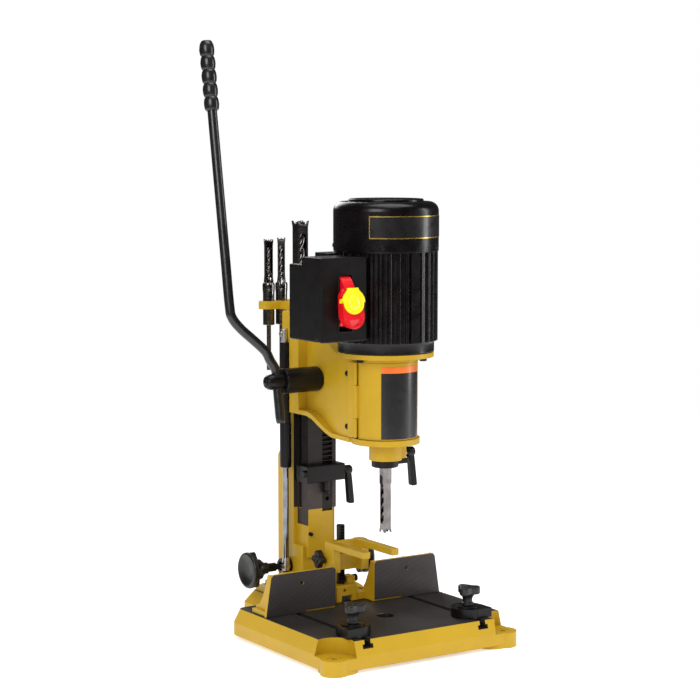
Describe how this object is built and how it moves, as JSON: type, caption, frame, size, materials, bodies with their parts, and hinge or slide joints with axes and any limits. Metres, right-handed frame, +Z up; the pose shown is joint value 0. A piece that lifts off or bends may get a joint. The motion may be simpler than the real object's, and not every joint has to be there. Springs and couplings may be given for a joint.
{
  "type": "hollow chisel mortiser",
  "caption": "Benchtop press that cuts square holes in wood: a lever feeds a motor head with a hollow chisel down a column over a table with a fence and hold-down.",
  "frame": {"origin": "centre of the whole machine's box, at the level the feet stand on", "axes": "+Z up, -Y towards the operator, +X to the operator's right"},
  "size_m": [0.3732, 0.4172, 0.9434],
  "materials": {
    "yellow_paint": "gloss yellow enamel over cast iron",
    "black_paint": "satin black oxide and paint",
    "motor_enamel": "semi-gloss black enamel",
    "ground_iron": "ground and oiled, dark satin",
    "steel": "turned and ground bright steel",
    "chrome_rod": "hard chrome",
    "black_plastic": "satin moulded plastic",
    "red_plastic": "gloss moulded plastic",
    "key_plastic": "gloss moulded plastic",
    "gib_brass": "machined",
    "stator_steel": "varnished laminations and windings"
  },
  "bodies": {
    "base": {"base_casting": "yellow_paint", "column_casting": "yellow_paint", "column_rack": "ground_iron", "tool_rack": "yellow_paint", "stored_chisel_left": "steel", "stored_chisel_middle": "steel", "stored_chisel_right": "steel", "stored_bit_left": "steel", "stored_bit_middle": "steel", "stored_bit_right": "steel", "strut_rod": "chrome_rod", "strut_lower_joint": "steel"},
    "head": {"head_casting": "yellow_paint", "head_gib": "gib_brass", "motor_body": "motor_enamel", "motor_stator": "stator_steel", "fan_cover": "motor_enamel", "lower_bearing": "steel", "upper_bearing": "steel", "strut_cylinder": "black_paint", "strut_upper_joint": "steel", "chisel_collar": "black_paint", "hollow_chisel": "steel", "door_hinge": "yellow_paint", "switch_box": "black_plastic", "switch_box_lid": "black_plastic", "cord_gland": "black_plastic"},
    "feed": {"feed_pinion": "steel", "lever_hub": "black_paint", "hub_knob": "black_paint", "lever_rod": "black_paint", "lever_grip": "black_plastic"},
    "spindle": {"rotor_shaft": "steel", "cooling_fan": "black_plastic", "drill_chuck": "steel", "auger_bit": "steel"},
    "door": {"chuck_door": "yellow_paint"},
    "chisel_clamp": {"clamp_lever": "black_paint", "clamp_screw": "steel"},
    "paddle": {"switch_paddle": "red_plastic"},
    "key": {"switch_key": "key_plastic"},
    "depth_stop": {"depth_stop_clamp": "black_paint", "depth_stop_stud": "steel", "depth_stop_screw": "steel"},
    "depth_lever": {"depth_stop_lever": "black_paint"},
    "fence": {"fence_casting": "yellow_paint", "guide_bar": "ground_iron", "holddown_post": "ground_iron", "post_lock_bolt": "black_paint"},
    "fence_drive": {"fence_pinion_shaft": "black_paint", "fence_knob_left": "black_plastic", "fence_knob_right": "black_plastic"},
    "fork": {"holddown_fork": "yellow_paint"},
    "fork_knob": {"fork_star_knob": "black_plastic"},
    "edge_stop_left": {"edge_stop_left": "black_paint", "stop_bolt_left": "steel"},
    "edge_stop_right": {"edge_stop_right": "black_paint", "stop_bolt_right": "steel"},
    "stop_knob_left": {"stop_knob_left": "black_plastic"},
    "stop_knob_right": {"stop_knob_right": "black_plastic"}
  },
  "joints": [
    {"name": "head_slide", "type": "slide", "parent": "base", "child": "head", "axis": [0, 0, 1], "range_m": [-0.084, 0], "stiffness_N_per_m": 400, "springref_m": 1.15},
    {"name": "feed_turn", "type": "hinge", "parent": "head", "child": "feed", "pos_m": [0.00805, 0.05285, 0.4095], "axis": [1, 0, 0], "range_deg": [0, 114]},
    {"name": "spindle_turn", "type": "hinge", "parent": "head", "child": "spindle", "pos_m": [0.00805, -0.09015, 0.4], "axis": [0, 0, 1], "continuous": true},
    {"name": "door_swing", "type": "hinge", "parent": "head", "child": "door", "pos_m": [-0.04415, -0.08455, 0.39], "axis": [0, 0, 1], "range_deg": [-110, 0]},
    {"name": "chisel_clamp_turn", "type": "hinge", "parent": "head", "child": "chisel_clamp", "pos_m": [0.04805, -0.09015, 0.304], "axis": [1, 0, 0], "range_deg": [-60, 60]},
    {"name": "paddle_tilt", "type": "hinge", "parent": "head", "child": "paddle", "pos_m": [-0.09995, -0.13515, 0.584], "axis": [1, 0, 0], "range_deg": [-12, 0]},
    {"name": "key_pull", "type": "slide", "parent": "paddle", "child": "key", "axis": [0, -1, 0], "range_m": [0, 0.014]},
    {"name": "depth_stop_slide", "type": "slide", "parent": "base", "child": "depth_stop", "axis": [0, 0, 1], "range_m": [-0.045, 0]},
    {"name": "depth_lever_turn", "type": "hinge", "parent": "depth_stop", "child": "depth_lever", "pos_m": [0.04805, 0.08535, 0.251], "axis": [1, 0, 0], "range_deg": [-50, 50]},
    {"name": "fence_slide", "type": "slide", "parent": "base", "child": "fence", "axis": [0, 1, 0], "range_m": [-0.075, 0.012]},
    {"name": "fence_drive_turn", "type": "hinge", "parent": "base", "child": "fence_drive", "pos_m": [0.00805, 0.13985, 0.0915], "axis": [1, 0, 0], "range_deg": [-192, 31]},
    {"name": "fork_slide", "type": "slide", "parent": "fence", "child": "fork", "axis": [0, 0, 1], "range_m": [-0.0125, 0.02]},
    {"name": "fork_knob_turn", "type": "hinge", "parent": "fork", "child": "fork_knob", "pos_m": [-0.03195, 0.03785, 0.12], "axis": [1, 0, 0], "range_deg": [-180, 180]},
    {"name": "edge_stop_left_slide", "type": "slide", "parent": "base", "child": "edge_stop_left", "axis": [0, 1, 0], "range_m": [-0.01, 0.045]},
    {"name": "edge_stop_right_slide", "type": "slide", "parent": "base", "child": "edge_stop_right", "axis": [0, 1, 0], "range_m": [-0.01, 0.045]},
    {"name": "stop_knob_left_turn", "type": "hinge", "parent": "edge_stop_left", "child": "stop_knob_left", "pos_m": [-0.09895, -0.16115, 0.085], "axis": [0, 0, 1], "range_deg": [-180, 180]},
    {"name": "stop_knob_right_turn", "type": "hinge", "parent": "edge_stop_right", "child": "stop_knob_right", "pos_m": [0.11505, -0.16115, 0.085], "axis": [0, 0, 1], "range_deg": [-180, 180]}
  ],
  "couplings": [
    {"joint": "feed_turn", "follows": "head_slide", "rad_per_m": -23.529},
    {"joint": "fence_drive_turn", "follows": "fence_slide", "rad_per_m": 44.444}
  ]
}
